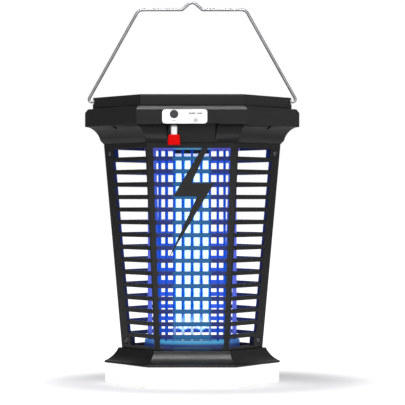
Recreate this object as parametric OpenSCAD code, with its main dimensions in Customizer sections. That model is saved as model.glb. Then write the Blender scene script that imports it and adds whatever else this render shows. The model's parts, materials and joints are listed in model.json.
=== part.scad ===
// Hanging electric insect killer: a hexagonal lantern with a grille cage, a high-voltage
// rod grid round a UV lamp, a head with the controls, a lit collection tray and a wire bail.
// Millimetres. +Z is up and the origin is the middle of the tray's underside. The controls
// face -Y, and two corners of the hexagonal plan lie on the X axis. Every radius called a
// corner radius is measured to a corner of the hexagon.

/* [Head] */
// Corner radius of the band round the head
band_r = 107.3; // [106.8:0.1:108]
// Corner radius of the top cover
tier_r = 99.5; // [99.2:0.1:99.8]
// Height of the top cover's upper face
housing_h = 284.5; // [284.2:0.1:285.5]
// Height of the seam between the head and the top cover
tier_z = 273; // [272.6:0.1:273.2]
// Height of the band's upper edge, where its chamfer starts
band_top = 269.4; // [269.4:0.1:269.8]
// Height of the band's lower edge, the drip lip
lip_z = 255.3; // [255:0.1:255.6]
// Wall thickness of the head
head_wall = 2.4; // [2.2:0.1:2.4]

/* [Grille] */
// Height of the cage's upper edge
cage_top = 238; // [237.8:0.1:238]
// Corner radius of the cage where it stands on the deck
cage_foot_r = 70.5; // [70.2:0.1:70.8]
// Corner radius gained for each millimetre of height
cage_flare = 0.0891; // [0.088:0.0001:0.09]
// Wall thickness of the grille
grille_wall = 3; // [2.8:0.1:3]
// Number of bars in each of the six faces
bar_count = 15; // [15]
// Height of the lowest bar's middle
bar_first_z = 48.6; // [48.4:0.1:48.8]
// Distance from bar to bar
bar_pitch = 12.41; // [12.38:0.01:12.43]
// Height of a bar
bar_h = 4.1; // [3.8:0.1:4.4]
// Width of the side posts, which carry the screws
side_post = 15.6; // [15.2:0.1:16]
// Width of the front and rear faces' posts at the top
front_post = 6.4; // [6:0.1:6.6]
// Width of the front and rear faces' posts at the foot
front_post_foot = 4.3; // [4.2:0.1:5]

/* [Grid and lamp] */
// Number of rods, live and earthed ones by turns
rod_count = 30; // [30]
// Radius of the ring of rods
rod_ring_r = 43.5; // [43.3:0.1:43.7]
// Diameter of a rod
rod_d = 2.2; // [1.8:0.1:2.2]
// Outer diameter of a lamp tube
tube_d = 7.4; // [7.2:0.1:7.6]
// Distance between the legs of a lamp tube
tube_pitch = 9; // [8.9:0.1:9.1]
// Height of the lamp tubes' lowest point
tube_low_z = 52; // [52:0.1:60]

/* [Base] */
// Height of the deck that the cage stands on
deck_z = 35; // [34.9:0.1:35]
// Corner radius of the skirt's lower edge
skirt_r = 88; // [87.8:0.1:88.4]
// Corner radius of the tray
tray_r = 87; // [86.6:0.1:87.2]
// Height of the tray's rim
tray_h = 19.7; // [19.5:0.1:19.7]
// Turn that frees the tray, in degrees
tray_turn = 25; // [25:1:28]

/* [Bail] */
// Diameter of the wire
wire_d = 3; // [2.8:0.1:3]
// Height of the bail's pivots
bail_z = 280.4; // [280.4]
// Half distance between the legs where they meet the pivots
bail_foot_x = 104.9; // [104.5:0.1:105.5]
// Half length of the top bar
bail_bar_x = 53.4; // [53:0.1:54]
// Height of the top bar
bail_bar_z = 372.5; // [371:0.5:374]
// Half width of the hanging loop in the middle
bump_x = 10; // [9.5:0.1:10.5]
// Rise of the hanging loop's corner over the bar
bump_rise = 9; // [8.5:0.1:9.5]

/* [Controls] */
// Sideways place of the button and of the selector at rest
button_x = -17.1; // [-17.3:0.1:-16.9]
// Height of the button
button_z = 264.9; // [264.7:0.1:265]
// Diameter of the button
button_d = 7.9; // [7.7:0.1:8]
// Travel of the button
button_travel = 1.2; // [1:0.1:1.2]
// Sideways place of the indicator, where the selector stops
indicator_x = 3.7; // [3.5:0.1:3.9]
// Height of the indicator
indicator_z = 259; // [259]
// Distance of the selector stem from the middle plane
selector_y = 86.5; // [86.4:0.1:86.6]
// Diameter of the selector stem
stem_d = 6; // [5.8:0.1:6]

/* [Charging port] */
// Height of the charging port
port_z = 262; // [262]
// Outer face of the flap, measured from the middle plane
port_face_y = 94; // [94]

/* [Hidden] */
$fn = 48;

plastic = [0.16, 0.16, 0.17];
pcb_green = [0.05, 0.35, 0.18];
steel = [0.62, 0.63, 0.64];
over = 1;               // cutters overshoot by this much
gap = 0.3;              // clearance between faces that move past each other
board_t = 1.6;          // thickness of a circuit board

// Cage
lean = atan(cage_flare * cos(30));
rail_bottom_z = bar_first_z - bar_pitch;
corner_post = 2.6;      // post width on the side faces, at the corners in front and behind
pad_extra = 3.6;        // the side posts' extra width round each screw
screw_inset = 10;       // screws' distance from the side corners
screw_low_z = 42.4;
screw_high_z = 228.5;
free_corners = [1, 2, 4, 5];    // corners without a side post
emblem = [[10.3, 233.5], [16, 233.5], [-0.4, 198.7], [21.9, 198.7], [-23.5, 123.8],
    [5.2, 185.7], [-18.2, 185.7]];

// Screws
shank_r = 1.45;
head_r = 2.9;
head_t = 1.7;

// Head
cove_r = 110.4;         // middle of the cove's arc, in corner radius and height
cove_z = 237.2;
cove_arc = 18.9;
cove_from = 113;        // the arc's ends, in degrees
cove_to = 167;
ledge_r = band_r - 3;   // the ledge round the top cover, inside the chamfer
rim_r = 88.6;           // the head's lower edge, on top of the cage
rim_in = 86.2;
spigot_r = 96.8;        // the wall that the top cover fits over
floor_z = 238.2;
floor_t = 2.4;
floor_top = floor_z + floor_t;
boss_ring = 78;         // the floor screws' circle
cover_ring = 76;        // the cover screws' circle
recess_x = 23;          // half width of the selector recess at its back wall
recess_back = 79.5;
recess_roof = 256;
roof_t = 2;
vent_z = 253.6;

// Lamp and grid
tube_r = tube_d / 2;
base_bottom = 228.5;
lamp_half = 18;
ring_in = 39;
ring_out = 47.5;
ring_low = 36;
ring_low_top = 43.5;
ring_high = 231.8;
bus_r = 43.5;
lug_ring = 53;

// Base
// the skirt's hollow flank from the lower edge inwards, in corner radius and height
skirt_flank = [[85.2, 23.1], [82.9, 24.5], [80.8, 26.1], [79, 27.7], [77.6, 29.3],
    [76.4, 30.9], [75.4, 32.3], [74.6, 33.7]];
throat_r = 57.6;        // the drop hole through the deck
collar_r = 60;
collar_low = 8;
lug_r = 62.4;           // the bayonet lugs' outer radius
lug_z = 9.5;
lug_t = 3;
lug_half = 10;          // half of a lug's angle
ring_wall_in = 63;
ring_wall_out = 65.4;
ring_top = 17;
led_board_z = 24.4;
led_board_r = 66.9;

// Selector
knob_top = 245.3;
knob_low = 235.3;
selector_travel = indicator_x - button_x;
shoe_z = recess_roof + roof_t + gap;

function apothem(r) = r * cos(30);
function cage_r(z) = cage_foot_r + cage_flare * (z - deck_z);
function slope(z) = (z - deck_z) / cos(lean);
function cove(extra) = [for (a = [cove_from : 9 : cove_to])
    [cove_r + (cove_arc + extra) * cos(a), cove_z + (cove_arc + extra) * sin(a)]];
function backwards(list) = [for (i = [len(list) - 1 : -1 : 0]) list[i]];
function side_of(k) = (k == 1 || k == -2) ? 1 : -1;

// A hexagonal ring or plate, from its section in corner radius and height
module hex_lathe(section) {
    rotate_extrude($fn = 6) polygon(section);
}

module hex_plate(r, low, high) {
    translate([0, 0, low]) cylinder(r = r, h = high - low, $fn = 6);
}

// A block given by its two opposite corners
module block(low, high) {
    translate(low) cube(high - low);
}

module tube(r_out, r_in, low, high) {
    translate([0, 0, low]) difference() {
        cylinder(r = r_out, h = high - low, $fn = 96);
        translate([0, 0, -over]) cylinder(r = r_in, h = high - low + 2 * over, $fn = 96);
    }
}

// A sector of a ring, from one angle to another
module ring_sector(r_in, r_out, low, high, from, to) {
    translate([0, 0, low]) rotate([0, 0, from])
        rotate_extrude(angle = to - from, $fn = 96)
            translate([r_in, 0]) square([r_out - r_in, high - low]);
}

// Points along -Y: x across, z up, and the drawn shape rises towards the front
module facing_front(y) {
    translate([0, -y, 0]) rotate([90, 0, 0]) children();
}

module facing_rear(y) {
    translate([0, y, 0]) rotate([90, 0, 180]) children();
}

module rounded_rect(w, h, r) {
    for (sx = [-1, 1]) for (sy = [-1, 1])
        translate([sx * (w / 2 - r), sy * (h / 2 - r)]) circle(r = r, $fn = 32);
    square([w - 2 * r, h], center = true);
    square([w, h - 2 * r], center = true);
}

function unit(v) = v / norm(v);

// A round rod swept along a path that never runs along Y
module swept(path, r, sides) {
    last = len(path) - 1;
    tangents = [for (j = [0 : last])
        unit(path[min(j + 1, last)] - path[max(j - 1, 0)])];
    rings = [for (j = [0 : last]) let (
        across = unit(cross([0, 1, 0], tangents[j])),
        up = cross(tangents[j], across))
        each [for (i = [0 : sides - 1]) let (a = 360 * i / sides)
            path[j] + r * (cos(a) * across + sin(a) * up)]];
    walls = [for (j = [0 : last - 1]) for (i = [0 : sides - 1]) let (
        a = j * sides + i, b = j * sides + (i + 1) % sides)
        each [[a, a + sides, b + sides], [a, b + sides, b]]];
    ends = [[for (i = [0 : sides - 1]) i],
        [for (i = [sides - 1 : -1 : 0]) last * sides + i]];
    polyhedron(rings, concat(walls, ends));
}

// Face number k of the cage: x along the face, y up its slope, z out of it
module on_face(k) {
    rotate([0, 0, 60 * k])
        translate([0, -apothem(cage_foot_r), deck_z])
            rotate([90 + lean, 0, 0]) children();
}

// The place of a grille screw on the side face k, at height z
module at_screw(k, z) {
    on_face(k) translate([side_of(k) * (cage_r(z) / 2 - screw_inset), slope(z), 0]) children();
}

module at_grille_screws(faces) {
    for (k = faces) for (z = [screw_low_z, screw_high_z]) at_screw(k, z) children();
}

module screw(length) {
    difference() {
        cylinder(r = head_r, h = head_t);
        for (a = [0, 90]) rotate([0, 0, a])
            translate([-1.6, -0.35, head_t - 0.8]) cube([3.2, 0.7, 1]);
    }
    translate([0, 0, -length]) cylinder(r = shank_r, h = length);
}

// ---- Head ----

head_outline = concat([[ledge_r, tier_z], [band_r, band_top], [band_r, lip_z]], cove(0),
    [[rim_r, cage_top]]);

module head_envelope() {
    hex_lathe(concat([[0, tier_z]], head_outline, [[0, cage_top]]));
}

module head_shell() {
    hex_lathe(concat(
        [[tier_r, tier_z]], head_outline,
        [[rim_in, cage_top], [rim_in, floor_top + 0.3]],
        backwards(cove(head_wall)),
        [[band_r - head_wall, lip_z + 2.2], [band_r - head_wall, band_top - 1.8],
         [97.5, tier_z - 2.4], [94.5, tier_z - 2.4], [94.5, tier_z + 3],
         [spigot_r, tier_z + 3], [spigot_r, tier_z]]));
}

// Trapezium of the selector recess in plan, grown by side
module recess_plan(side, depth) {
    polygon([[-recess_x - side, -depth], [recess_x + side, -depth],
        [recess_x + side + 4, -94], [-recess_x - side - 4, -94]]);
}

module recess_walls() {
    intersection() {
        head_envelope();
        translate([0, 0, cage_top])
            linear_extrude(recess_roof + roof_t - cage_top)
                recess_plan(2.2, recess_back - 2.2);
    }
    block([-recess_x - 2.2, -recess_back, cage_top],
        [recess_x + 2.2, -recess_back + 2.2, recess_roof + roof_t]);
}

module floor_bosses() {
    intersection() {
        head_envelope();
        for (k = free_corners) rotate([0, 0, 60 * k]) {
            translate([boss_ring, 0, floor_top]) cylinder(r = 4, h = 14);
            block([boss_ring, -1.2, floor_top + 4], [boss_ring + 16, 1.2, floor_top + 14]);
        }
    }
}

module cover_lugs() {
    for (k = [0 : 5]) rotate([0, 0, 30 + 60 * k])
        block([cover_ring - 5, -5, tier_z - 2.4], [apothem(95.5), 5, tier_z]);
}

module head_housing() {
    color(plastic) difference() {
        union() {
            head_shell();
            recess_walls();
            floor_bosses();
            cover_lugs();
            block([-15, 86.5, port_z - 6.6], [15, 92, port_z + 6.6]);
        }
        translate([0, 0, cage_top - over])
            linear_extrude(recess_roof - cage_top + over) recess_plan(0, recess_back);
        for (k = free_corners) rotate([0, 0, 60 * k])
            translate([boss_ring, 0, floor_top - over]) cylinder(r = shank_r, h = 12 + over);
        for (k = [0 : 5]) rotate([0, 0, 30 + 60 * k])
            translate([cover_ring, 0, tier_z - 2.4 - over])
                cylinder(r = shank_r + 0.2, h = 2.4 + 2 * over);
        // slot of the selector stem
        block([button_x - stem_d / 2 - gap, -selector_y - stem_d / 2 - gap, recess_roof - over],
            [indicator_x + stem_d / 2 + gap, -selector_y + stem_d / 2 + gap,
             recess_roof + roof_t + over]);
        facing_front(85) translate([button_x, button_z, 0]) cylinder(r = button_d / 2 + 0.3, h = 9);
        facing_front(85) translate([indicator_x, indicator_z, 0]) cylinder(r = 2.2, h = 9);
        // seat of the port bezel and the way in for the plug
        facing_rear(91.4) translate([0, port_z + 0.8, 0]) linear_extrude(3)
            rounded_rect(26, 13, 2);
        facing_rear(85) translate([0, port_z, 0]) linear_extrude(8) rounded_rect(12, 6.4, 2);
        for (k = [-2, -1, 1, 2]) rotate([0, 0, 60 * k])
            block([-2.6, -93, vent_z - 1.4], [2.6, -84, vent_z + 1.4]);
    }
}

module top_cover() {
    inner = tier_r - 2.2;
    under = housing_h - 2.2;
    color(plastic) difference() {
        union() {
            hex_lathe([[tier_r, tier_z + 0.8], [tier_r, housing_h - 0.9],
                [tier_r - 0.9, housing_h], [0, housing_h], [0, under], [inner, under],
                [inner, tier_z + 0.8]]);
            for (k = [0 : 5]) rotate([0, 0, 30 + 60 * k])
                translate([cover_ring, 0, tier_z]) cylinder(r = 4, h = under - tier_z + over / 2);
            for (side = [-1, 1]) scale([side, 1, 1])
                block([87.5, -5, tier_z + 3.4], [inner + 0.4, 5, under + over / 2]);
        }
        for (k = [0 : 5]) rotate([0, 0, 30 + 60 * k])
            translate([cover_ring, 0, tier_z - over]) cylinder(r = shank_r, h = 8);
        for (side = [0, 180]) rotate([0, 0, side]) {
            translate([87, 0, bail_z]) rotate([0, 90, 0]) cylinder(r = 2.4, h = 15);
            block([82, -3.4, tier_z + 3], [87.5, 3.4, housing_h - 1.2]);
        }
    }
}

module top_gasket() {
    color("dimgray")
        hex_lathe([[97.1, tier_z], [99.2, tier_z], [99.2, tier_z + 0.8], [97.1, tier_z + 0.8]]);
}

module cover_screws() {
    color(steel) for (k = [0 : 5]) rotate([0, 0, 30 + 60 * k])
        translate([cover_ring, 0, tier_z - 2.4]) rotate([180, 0, 0]) screw(8);
}

// ---- Controls ----

plate_y = apothem(band_r);

module control_plate() {
    color("white") difference() {
        facing_front(plate_y) translate([-6.8, lip_z + 7.3, 0]) linear_extrude(0.8)
            rounded_rect(43.4, 13.6, 3);
        facing_front(90) translate([button_x, button_z, 0]) cylinder(r = button_d / 2 + 0.2, h = 6);
        facing_front(90) translate([indicator_x, indicator_z, 0]) cylinder(r = 2, h = 6);
    }
}

module power_button() {
    color("dimgray") facing_front(0) translate([button_x, button_z, 0]) {
        translate([0, 0, 88.2]) cylinder(r = button_d / 2, h = 5.8);
        block([-5.2, -2.6, 89.3], [5.2, 2.6, 90.4]);
        translate([0, 0, 86.2]) cylinder(r = 1.5, h = 3);
    }
}

module indicator_lens() {
    color("lightgray") facing_front(0) translate([indicator_x, indicator_z, 91.1])
        cylinder(r = 2, h = 2.8);
}

board_front = 81;

module control_board() {
    color(pcb_green) difference() {
        block([-30, -board_front, 259.8], [18, -board_front + board_t, 270.2]);
        for (x = [-27.5, 15.5]) facing_front(76) translate([x, 267, 0])
            cylinder(r = shank_r, h = 8);
    }
}

module button_switch() {
    color("black") {
        block([button_x - 3, -board_front - 3.4, button_z - 3],
            [button_x + 3, -board_front, button_z + 3]);
        facing_front(board_front + 3.4) translate([button_x, button_z, 0])
            cylinder(r = 1.7, h = 0.5);
    }
}

module indicator_led() {
    color("palegreen") facing_front(board_front) translate([indicator_x, 262, 0]) {
        cylinder(r = 1.9, h = 0.8);
        cylinder(r = 1.5, h = 3);
        translate([0, 0, 3]) sphere(r = 1.5);
    }
}

module selector_lever() {
    color("gainsboro") {
        translate([button_x, -selector_y, knob_top - 5])
            cylinder(r = stem_d / 2, h = shoe_z - knob_top + 5.5);
        block([button_x - 5, -selector_y - 4.2, shoe_z], [button_x + 5, -73.2, shoe_z + 1]);
        block([button_x - 1, -75, 254.4], [button_x + 1, -73.2, shoe_z + 0.5]);
    }
}

module selector_knob() {
    color("red") difference() {
        translate([button_x, -selector_y, knob_top]) mirror([0, 0, 1])
            linear_extrude(knob_top - knob_low, scale = [1.16, 1], slices = 1)
                rounded_rect(10.7, 9, 2);
        translate([button_x, -selector_y, knob_top - 5]) cylinder(r = stem_d / 2, h = 6);
    }
}

module selector_switch() {
    color("dimgray") difference() {
        block([-25, -77, 249], [12, -70.6, 256.6]);
        block([button_x - 1.6, -75.6, 254], [indicator_x + 1.6, -72.6, 257]);
    }
}

// ---- Charging port ----

module charge_board() {
    color(pcb_green) block([-13, 74.5, 260.4 - board_t], [13, 86.2, 260.4]);
}

module charge_socket() {
    color("silver") difference() {
        facing_rear(79) translate([0, port_z, 0]) linear_extrude(9) rounded_rect(8.9, 3.2, 1.5);
        facing_rear(82) translate([0, port_z, 0]) linear_extrude(9) rounded_rect(8.3, 2.6, 1.25);
    }
    color("black") block([-3.3, 81.5, port_z - 0.35], [3.3, 87.4, port_z + 0.35]);
}

flap_axis_y = 93.2;
flap_axis_z = port_z + 5.4;

module port_bezel() {
    color(plastic) difference() {
        facing_rear(91.4) translate([0, port_z + 0.8, 0]) linear_extrude(port_face_y - 91.5)
            rounded_rect(25.8, 12.8, 2);
        block([-9, 92.4, port_z - 4.8], [9, 95, flap_axis_z + 0.9]);
        facing_rear(90) translate([0, port_z, 0]) linear_extrude(5) rounded_rect(12, 6.4, 2);
        translate([-10.6, flap_axis_y, flap_axis_z]) rotate([0, 90, 0])
            cylinder(r = 0.45, h = 21.2);
    }
}

module port_flap() {
    color("black") {
        block([-8.7, 92.7, port_z - 4.5], [8.7, port_face_y, flap_axis_z - 0.2]);
        translate([-8.7, flap_axis_y, flap_axis_z]) rotate([0, 90, 0])
            cylinder(r = 0.7, h = 17.4);
        translate([-10.4, flap_axis_y, flap_axis_z]) rotate([0, 90, 0])
            cylinder(r = 0.4, h = 20.8);
    }
}

// ---- Inside the head ----

board_z = 250;
board_y = -8;           // middle of the main board
board_posts = [for (x = [-50, 50]) for (y = [-32, 32]) [x, board_y + y]];

module main_board() {
    color(pcb_green) difference() {
        block([-55, board_y - 38, board_z], [55, board_y + 38, board_z + board_t]);
        for (p = board_posts) translate([p[0], p[1], board_z - over])
            cylinder(r = shank_r + 0.15, h = 4);
    }
}

module board_screws() {
    color(steel) {
        for (p = board_posts) translate([p[0], p[1], board_z + board_t]) screw(7);
        for (x = [-27.5, 15.5]) facing_front(board_front) translate([x, 267, 0]) screw(board_t);
    }
}

module hv_transformer() {
    color("goldenrod") translate([0, board_y, 0]) {
        block([-34, -14, board_z + board_t], [-6, 14, board_z + 5.6]);
        translate([-20, 0, board_z + 5.6]) cylinder(r = 9.5, h = 13);
        block([-34, -14, board_z + 18.6], [-6, 14, board_z + 22]);
    }
}

module hv_capacitors() {
    color("steelblue") for (i = [0 : 3])
        translate([8 + 11 * i, board_y - 18, board_z + board_t]) cylinder(r = 4.5, h = 14);
    color("royalblue") for (i = [0 : 2])
        block([6 + 14 * i, board_y + 6, board_z + board_t], [17 + 14 * i, board_y + 11, board_z + 12]);
}

module lamp_socket() {
    color("ivory") difference() {
        block([-17, -9, floor_top], [17, 9, board_z - 0.4]);
        block([-13.2, -5.2, floor_top - over], [13.2, 5.2, 246.4]);
    }
}

cell_r = 9.2;
cell_z = floor_top + 1.6 + cell_r;
cell_rows = [44, 63.4]; // middle of each cell, behind the middle plane

module battery_cells() {
    color("mediumseagreen") for (y = cell_rows) translate([-32.5, y, cell_z])
        rotate([0, 90, 0]) cylinder(r = cell_r, h = 65);
}

module battery_cradle() {
    color("black") difference() {
        block([-34.6, cell_rows[0] - 10.4, floor_top], [34.6, cell_rows[1] + 10, cell_z + 2]);
        for (y = cell_rows) translate([-33.2, y, cell_z]) rotate([0, 90, 0])
            cylinder(r = cell_r + 0.2, h = 66.4);
        block([-33.2, cell_rows[0] - 6, cell_z], [33.2, cell_rows[1] + 6, cell_z + 3]);
    }
}

module head_floor() {
    color(plastic) difference() {
        union() {
            hex_plate(rim_in - 0.3, floor_z, floor_top);
            for (p = board_posts) translate([p[0], p[1], floor_top - over / 2])
                cylinder(r = 3.4, h = board_z - floor_top + over / 2);
            for (k = [-2, -1, 1, 2]) on_face(k)
                translate([side_of(k) * (cage_r(screw_high_z) / 2 - screw_inset) - 5.5,
                    slope(screw_high_z) - 5.5, -grille_wall - 4.1])
                    cube([11, floor_top - screw_high_z + 5.5 - 0.6, 4]);
        }
        for (p = board_posts) translate([p[0], p[1], floor_top + 1]) cylinder(r = shank_r, h = 9);
        for (k = free_corners) rotate([0, 0, 60 * k])
            translate([boss_ring, 0, floor_z - over]) cylinder(r = shank_r + 0.2, h = 5);
        for (k = [0 : 2]) rotate([0, 0, 90 + 120 * k]) translate([lug_ring, 0, floor_z - over])
            cylinder(r = shank_r, h = 5);
        block([-13.4, -5.4, floor_z - over], [13.4, 5.4, floor_top + over]);
        translate([-30, 20, floor_z - over]) cylinder(r = 3, h = 5);
        translate([lead_path[1][0], 0, floor_z - over]) cylinder(r = 1.6, h = 5);
        at_grille_screws([-2, -1, 1, 2]) translate([0, 0, -9]) cylinder(r = shank_r, h = 9);
    }
}

module floor_screws() {
    color(steel) for (k = free_corners) rotate([0, 0, 60 * k])
        translate([boss_ring, 0, floor_z]) rotate([180, 0, 0]) screw(12);
}

// ---- Lamp and high-voltage grid ----

module lamp_base() {
    color("dimgray") difference() {
        union() {
            translate([0, 0, base_bottom]) linear_extrude(floor_z - base_bottom)
                rounded_rect(2 * lamp_half, 15, 6);
            block([-13, -5, floor_z - over], [13, 5, 246]);
        }
        for (x = [-1.5, -0.5, 0.5, 1.5]) translate([x * tube_pitch, 0, base_bottom - over])
            cylinder(r = tube_r, h = 5 + over);
    }
}

// Two U-shaped tubes side by side
module uv_tubes() {
    bend_z = tube_low_z + tube_r + tube_pitch / 2;
    color("lightcyan") for (x = [-tube_pitch, tube_pitch]) translate([x, 0, bend_z]) {
        for (leg = [-0.5, 0.5]) translate([leg * tube_pitch, 0, 0])
            cylinder(r = tube_r, h = base_bottom + 5 - bend_z);
        rotate([-90, 0, 0]) rotate_extrude(angle = 180) translate([tube_pitch / 2, 0])
            circle(r = tube_r, $fn = 32);
    }
}

module at_rods(first) {
    for (i = [first : 2 : rod_count - 1]) rotate([0, 0, -90 + i * 360 / rod_count])
        translate([rod_ring_r, 0, 0]) children();
}

module upper_insulator() {
    color("ivory") difference() {
        union() {
            tube(ring_out, ring_in, ring_high, floor_z);
            for (k = [0 : 2]) rotate([0, 0, 90 + 120 * k]) {
                translate([lug_ring, 0, floor_z - 3]) cylinder(r = 5, h = 3);
                block([ring_out - 3, -5, floor_z - 3], [lug_ring, 5, floor_z]);
            }
        }
        tube(bus_r + 1.8, bus_r - 1.8, floor_z - 1.8, floor_z + over);
        at_rods(0) translate([0, 0, ring_high - over]) cylinder(r = rod_d / 2, h = 9);
        at_rods(1) translate([0, 0, ring_high - over]) cylinder(r = rod_d / 2, h = 3 + over);
        for (k = [0 : 2]) rotate([0, 0, 90 + 120 * k]) translate([lug_ring, 0, floor_z - 4])
            cylinder(r = shank_r + 0.2, h = 5);
    }
}

module lower_insulator() {
    color("ivory") difference() {
        union() {
            tube(ring_out, ring_in, ring_low, ring_low_top);
            for (k = free_corners) rotate([0, 0, 60 * k])
                block([ring_out - 2, -4, deck_z], [throat_r + 6.4, 4, deck_z + 3]);
        }
        tube(bus_r + 1.8, bus_r - 1.8, ring_low - over, ring_low + 1.8);
        at_rods(1) translate([0, 0, ring_low]) cylinder(r = rod_d / 2, h = 9);
        at_rods(0) translate([0, 0, ring_low_top - 3]) cylinder(r = rod_d / 2, h = 4);
        for (k = free_corners) rotate([0, 0, 60 * k])
            translate([throat_r + 3.4, 0, deck_z - over]) cylinder(r = shank_r + 0.2, h = 5);
    }
}

module insulator_screws() {
    color(steel) {
        for (k = free_corners) rotate([0, 0, 60 * k])
            translate([throat_r + 3.4, 0, deck_z + 3]) screw(6);
        for (k = [0 : 2]) rotate([0, 0, 90 + 120 * k]) translate([lug_ring, 0, floor_z - 3])
            rotate([180, 0, 0]) screw(5);
    }
}

// Live rods reach the bus ring on top and end blind below; earthed rods the other way round
module live_grid_rods() {
    low = ring_low_top - 3;
    high = floor_z - 1.6;
    color(steel) at_rods(0) translate([0, 0, low]) cylinder(r = rod_d / 2, h = high - low);
}

module ground_grid_rods() {
    low = ring_low + 1.6;
    high = ring_high + 3;
    color(steel) at_rods(1) translate([0, 0, low]) cylinder(r = rod_d / 2, h = high - low);
}

module live_bus_ring() {
    color("goldenrod") tube(bus_r + 1.5, bus_r - 1.5, floor_z - 1.6, floor_z - 0.6);
}

module ground_bus_ring() {
    color("goldenrod") tube(bus_r + 1.5, bus_r - 1.5, ring_low + 0.6, ring_low + 1.6);
}

// ---- Cage ----

// A window between two heights, with the widths of its left and right posts at each
module window(z_low, z_high, low, high) {
    polygon([[low[0] - cage_r(z_low) / 2, slope(z_low)],
        [cage_r(z_low) / 2 - low[1], slope(z_low)],
        [cage_r(z_high) / 2 - high[1], slope(z_high)],
        [high[0] - cage_r(z_high) / 2, slope(z_high)]]);
}

function front_posts(z) = [1, 1] * (front_post_foot
    + (front_post - front_post_foot) * (z - deck_z) / (cage_top - deck_z));

// side is 0 on the front and rear faces, otherwise the sign of the side corner's x
module face_plate(side) {
    difference() {
        window(deck_z - 2, cage_top + 2, [0, 0], [0, 0]);
        for (i = [0 : bar_count]) {
            low = rail_bottom_z + i * bar_pitch + bar_h / 2;
            high = rail_bottom_z + (i + 1) * bar_pitch - bar_h / 2;
            wide = side_post + (i == 0 || i == bar_count ? pad_extra : 0);
            posts = side > 0 ? [corner_post, wide] : [wide, corner_post];
            window(low, high, side == 0 ? front_posts(low) : posts,
                side == 0 ? front_posts(high) : posts);
        }
    }
}

module grille_half(faces) {
    difference() {
        intersection() {
            for (k = faces) on_face(k) translate([0, 0, -grille_wall])
                linear_extrude(grille_wall)
                    face_plate((k == 0 || k == 3) ? 0 : side_of(k));
            block([-120, -120, deck_z], [120, 120, cage_top]);
        }
        for (k = faces) if (k != 0 && k != 3) at_grille_screws([k]) {
            translate([0, 0, -grille_wall - over]) cylinder(r = shank_r + 0.15, h = 6);
            translate([0, 0, -1]) cylinder(r = head_r + 0.3, h = 3);
        }
    }
}

module front_grille() {
    color(plastic) {
        intersection() {
            grille_half([-1, 0, 1]);
            block([-120, -120, 0], [120, -0.15, 300]);
        }
        intersection() {
            on_face(0) translate([0, 0, -grille_wall]) linear_extrude(grille_wall + 0.5)
                polygon([for (p = emblem) [p[0], slope(p[1])]]);
            block([-120, -120, deck_z], [120, 0, cage_top]);
        }
    }
}

module rear_grille() {
    color(plastic) intersection() {
        grille_half([2, 3, -2]);
        block([-120, 0.15, 0], [120, 120, 300]);
    }
}

module grille_screws() {
    color(steel) at_grille_screws([-2, -1, 1, 2]) translate([0, 0, -1]) screw(6.2);
}

// ---- Base ----

module lower_skirt() {
    color(plastic) difference() {
        union() {
            hex_lathe(concat([[skirt_r, 20], [skirt_r, 21.8]], skirt_flank,
                [[74, deck_z], [50, deck_z], [50, deck_z - 2.4], [72.2, deck_z - 2.4],
                 [74.3, 29.4], [77, 26.2], [81, 22.9], [84.5, 20]]));
            translate([0, 0, collar_low])
                cylinder(r = collar_r, h = deck_z - over - collar_low, $fn = 96);
            for (k = [0 : 2]) rotate([0, 0, 30 + 120 * k]) {
                ring_sector(collar_r - 1, lug_r, lug_z, lug_z + lug_t, -lug_half, lug_half);
                ring_sector(collar_r - 1, lug_r, lug_z, ring_top, -lug_half - 2, -lug_half + 0.3);
            }
            for (k = [0 : 5]) rotate([0, 0, 10 + 60 * k]) translate([64, 0, led_board_z + board_t])
                cylinder(r = 1.8, h = deck_z - led_board_z - 3);
            for (k = [-2, -1, 1, 2]) intersection() {
                on_face(k) translate([side_of(k) * (cage_r(screw_low_z) / 2 - screw_inset) - 5.5,
                    -4, -grille_wall - 4.1]) cube([11, slope(screw_low_z) + 9.5, 4]);
                block([-100, -100, deck_z - over], [100, 100, 60]);
            }
        }
        translate([0, 0, collar_low - over]) cylinder(r = throat_r, h = 40, $fn = 96);
        for (k = free_corners) rotate([0, 0, 60 * k])
            translate([throat_r + 3.4, 0, deck_z - 4]) cylinder(r = shank_r, h = 5);
        translate([lead_path[3][0], 0, deck_z - 4]) cylinder(r = 1.6, h = 5);
        at_grille_screws([-2, -1, 1, 2]) translate([0, 0, -9]) cylinder(r = shank_r, h = 9);
    }
}

module lantern_led_board() {
    color("white") tube(led_board_r, collar_r + gap, led_board_z, led_board_z + board_t);
}

module lantern_leds() {
    color("lightyellow") for (k = [0 : 17]) rotate([0, 0, 10 + 20 * k])
        block([62.6, -1.4, led_board_z - 0.8], [66.4, 1.4, led_board_z]);
}

// Lead behind the right-hand side posts, from the head to the lantern's board
lead_path = [[80, 0, 250], [83.4, 0, 242], [83.2, 0, 234], [65.3, 0, 38], [65.3, 0, 26]];

module lantern_lead() {
    color("white") swept(lead_path, 1.2, 8);
}

module collection_tray() {
    catch_z = lug_z + lug_t + gap;
    color("white") {
        difference() {
            hex_lathe([[0, 0], [tray_r - 1.2, 0], [tray_r, 1.2], [tray_r, tray_h], [0, tray_h]]);
            hex_plate(tray_r - 2.4, 2.2, tray_h + over);
        }
        tube(ring_wall_out, ring_wall_in, 1, ring_top);
        for (k = [0 : 2]) rotate([0, 0, 30 + 120 * k])
            ring_sector(collar_r + gap, ring_wall_in + 1, catch_z, catch_z + 2.4,
                -lug_half + 0.4, lug_half);
    }
}

// ---- Bail ----

wire_r = wire_d / 2;
wire_end = 84;          // inner end of the wire
pin_end = 98.5;         // where the straight pin ends and the bends begin
bail_corners = [[pin_end, bail_z, 0], [bail_foot_x, bail_z, 2.6], [bail_bar_x, bail_bar_z, 7],
    [bump_x, bail_bar_z, 3], [0, bail_bar_z + bump_rise, 5.8], [-bump_x, bail_bar_z, 3],
    [-bail_bar_x, bail_bar_z, 7], [-bail_foot_x, bail_z, 2.6], [-pin_end, bail_z, 0]];

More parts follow.
